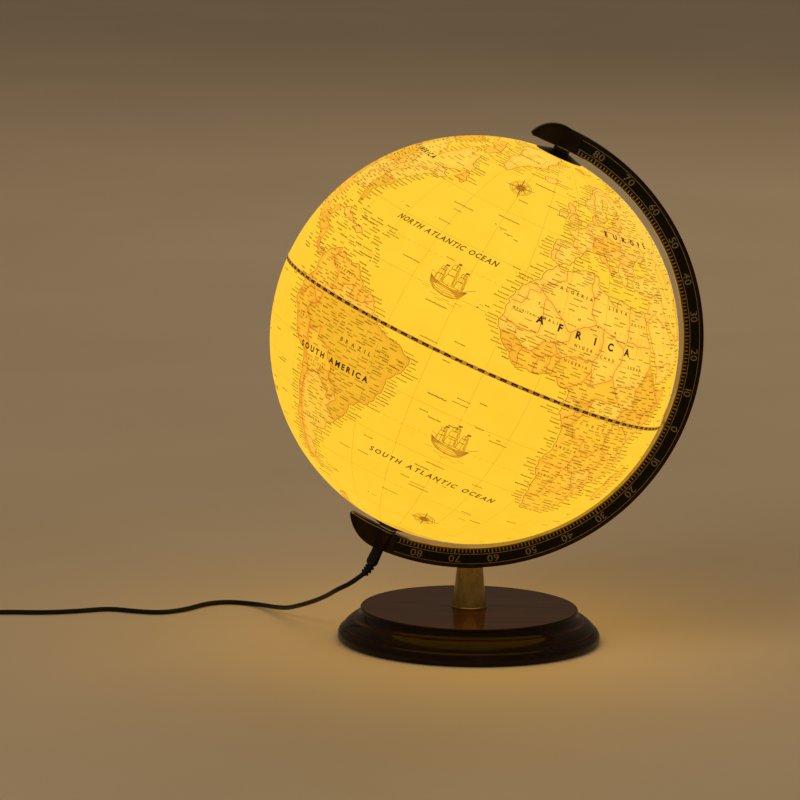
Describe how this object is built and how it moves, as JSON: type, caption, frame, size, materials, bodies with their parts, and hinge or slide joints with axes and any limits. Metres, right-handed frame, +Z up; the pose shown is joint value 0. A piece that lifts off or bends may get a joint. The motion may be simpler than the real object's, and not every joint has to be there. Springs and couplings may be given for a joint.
{
  "type": "desktop globe on stand",
  "caption": "Illuminated antique-style desk globe that turns on a tilted axis in a graduated meridian arm, on a turned round wooden base, with a low-voltage lead.",
  "frame": {"origin": "middle of the felt underside of the base, on the surface it stands on", "axes": "+Z up, -Y towards the numbered front of the meridian arm, and the globe's north pole leans towards +X, where the arm is"},
  "size_m": [0.5874, 0.3008, 0.3857],
  "materials": {
    "felt": "flocked felt, near black",
    "lacquered_wood": "high-gloss dark mahogany lacquer",
    "zinc_steel": "zinc plated",
    "antique_bronze": "antique bronze plating, satin",
    "arm_enamel": "dark bronze, satin",
    "scale_print": "black strip printed with gold degree scale",
    "insert_brass": "turned",
    "spindle_steel": "ground",
    "nylon": "natural nylon",
    "black_cap": "black, semi-gloss",
    "globe_print": "translucent shell with printed antique-style map, lit from inside",
    "tape_print": "printed tape with alternating blocks",
    "inner_ring": "white translucent",
    "lamp_white": "white, moulded",
    "board": "white solder mask on aluminium",
    "led_yellow": "phosphor",
    "frosted": "frosted",
    "wire_red": "insulation",
    "jack_plastic": "black",
    "plated": "nickel plated",
    "cord_pvc": "black PVC, satin",
    "plug_pvc": "black PVC, moulded",
    "switch_plastic": "black ABS, fine texture",
    "rocker_plastic": "black, polished",
    "contact_brass": "stamped",
    "usb_steel": "plated shell",
    "usb_insert": "white tongue",
    "tie_band": "woven hook-and-loop band"
  },
  "bodies": {
    "stand": {"felt_pad": "felt", "base": "lacquered_wood", "base_bolt": "zinc_steel", "lock_washer": "zinc_steel", "bolt_washer": "zinc_steel", "locating_pins": "zinc_steel", "post": "antique_bronze", "arm_pins": "zinc_steel", "threaded_insert": "insert_brass", "meridian_arm": "arm_enamel", "scale_front": "scale_print", "scale_back": "scale_print", "north_pin": "spindle_steel", "thrust_washer": "nylon", "grub_screw": "zinc_steel", "lamp_tube": "spindle_steel", "lamp_holder": "lamp_white", "led_board": "board", "leds": "led_yellow", "board_screws": "zinc_steel", "diffuser": "frosted", "lead_wires": "wire_red", "dc_jack": "jack_plastic", "jack_pin": "plated", "dc_plug": "plug_pvc", "plug_barrel": "plated", "strain_relief": "plug_pvc", "cord_lead": "cord_pvc", "cord_link": "cord_pvc", "cord_tail": "cord_pvc", "cord_coil": "cord_pvc", "cord_tie": "tie_band", "switch_case_bottom": "switch_plastic", "switch_case_top": "switch_plastic", "switch_screws": "zinc_steel", "switch_contacts": "contact_brass", "usb_body": "plug_pvc", "usb_shell": "usb_steel", "usb_tongue": "usb_insert"},
    "globe": {"north_hemisphere": "globe_print", "south_hemisphere": "globe_print", "equator_tape": "tape_print", "joining_ring": "inner_ring", "north_bush": "nylon", "south_bush": "nylon", "north_collar": "black_cap", "south_collar": "black_cap"},
    "rocker": {"switch_rocker": "rocker_plastic"}
  },
  "joints": [
    {"name": "globe_spin", "type": "hinge", "parent": "stand", "child": "globe", "pos_m": [0, 0, 0.225], "axis": [0.3987, 0, 0.9171], "continuous": true},
    {"name": "switch_rocker_tilt", "type": "hinge", "parent": "stand", "child": "rocker", "pos_m": [-0.384, 0.001, 0.0104], "axis": [1, 0, 0], "range_deg": [-14, 0]}
  ]
}
